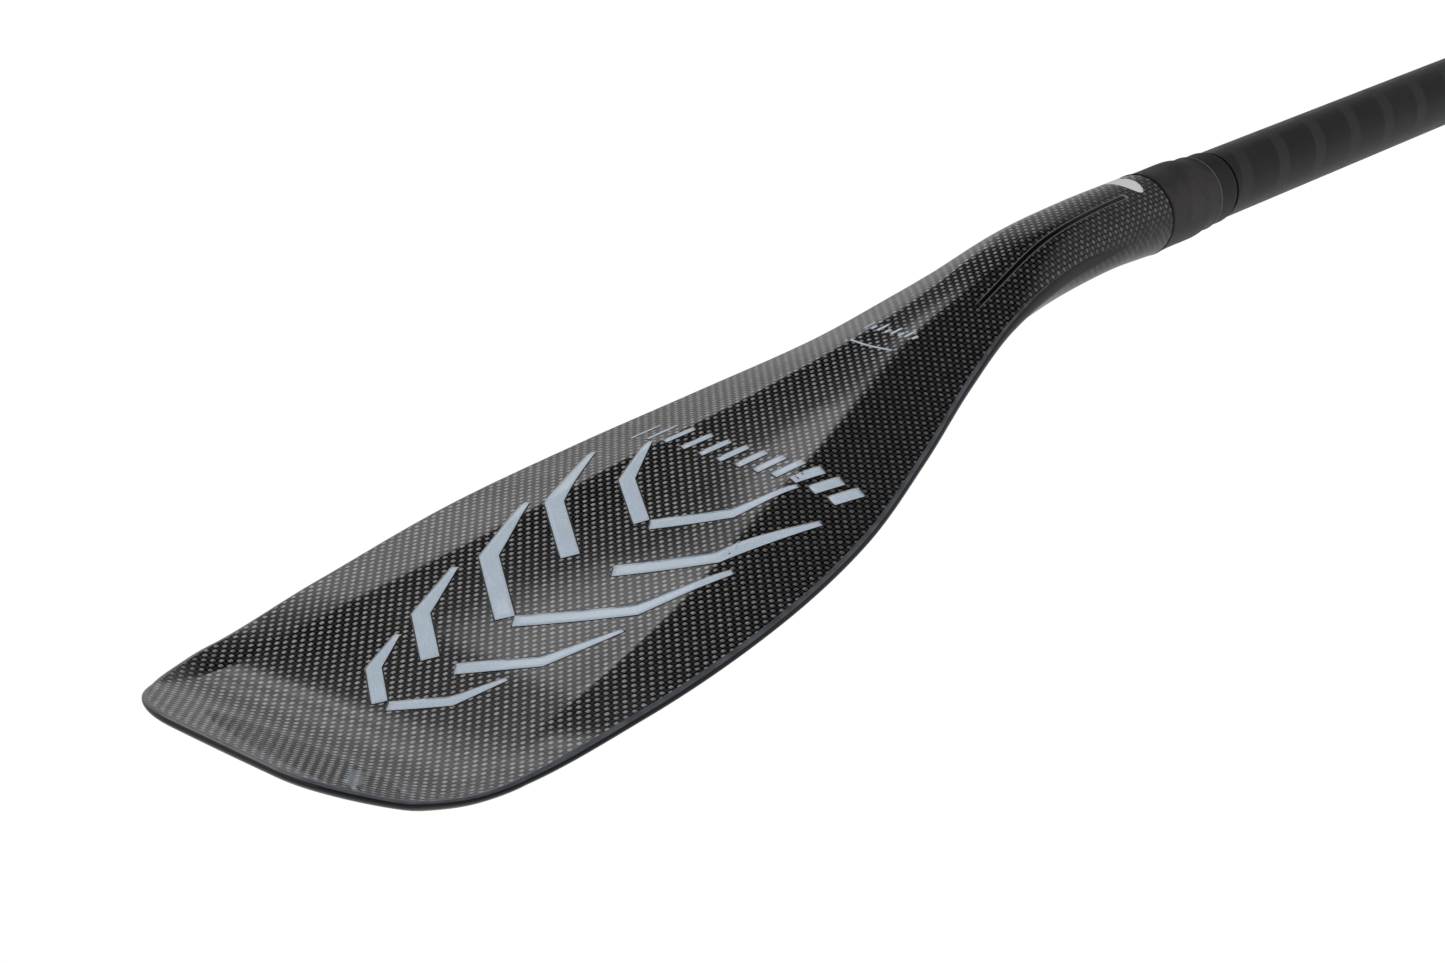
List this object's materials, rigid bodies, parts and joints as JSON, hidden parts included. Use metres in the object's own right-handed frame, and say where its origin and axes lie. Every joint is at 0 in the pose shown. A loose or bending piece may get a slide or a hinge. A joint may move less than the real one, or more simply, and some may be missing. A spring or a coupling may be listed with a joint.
{
  "type": "adjustable stand-up paddle",
  "caption": "Single-bladed paddle with a creased carbon blade cranked from the shaft, a telescoping upper tube held by a cam-lever clamp, and a palm grip.",
  "frame": {"origin": "on the shaft axis, at the mouth of the blade's neck", "axes": "+X up the shaft towards the grip, +Z out of the power face, +Y across the blade"},
  "size_m": [1.7981, 0.1578, 0.0926],
  "materials": {
    "carbon_weave": "clear-coated woven carbon",
    "dark_resin": "satin",
    "foam": "matt foam",
    "tube_carbon": "satin carbon",
    "shrink_tube": "matt",
    "plug_rubber": "matt",
    "moulded_black": "fine texture",
    "bushing_plastic": "smooth",
    "steel": "satin",
    "lever_black": "semi-gloss",
    "grip_plastic": "satin",
    "grip_pad": "soft matt"
  },
  "bodies": {
    "blade_shaft": {"power_face_skin": "carbon_weave", "back_face_skin": "carbon_weave", "foam_core": "foam", "edge_rail": "dark_resin", "neck_socket": "tube_carbon", "neck_spigot": "tube_carbon", "lower_shaft": "tube_carbon", "shrink_sleeve": "shrink_tube", "shaft_water_plug": "plug_rubber", "clamp_body": "moulded_black", "clamp_bushing": "bushing_plastic", "clamp_washer": "steel", "clamp_bolt": "steel", "cam_washer": "bushing_plastic", "pivot_barrel": "steel"},
    "lever": {"clamp_lever": "lever_black"},
    "extension": {"upper_shaft": "tube_carbon", "upper_shaft_plug": "bushing_plastic", "plug_orings": "plug_rubber", "grip_core": "grip_plastic", "grip_cover": "grip_pad", "grip_sleeve": "shrink_tube"}
  },
  "joints": [
    {"name": "extension_slide", "type": "slide", "parent": "blade_shaft", "child": "extension", "axis": [1, 0, 0], "range_m": [-0.15, 0.35]},
    {"name": "lever_pivot", "type": "hinge", "parent": "blade_shaft", "child": "lever", "pos_m": [0.765, 0.025, 0.02008], "axis": [-1, 0, 0], "range_deg": [0, 150]}
  ]
}
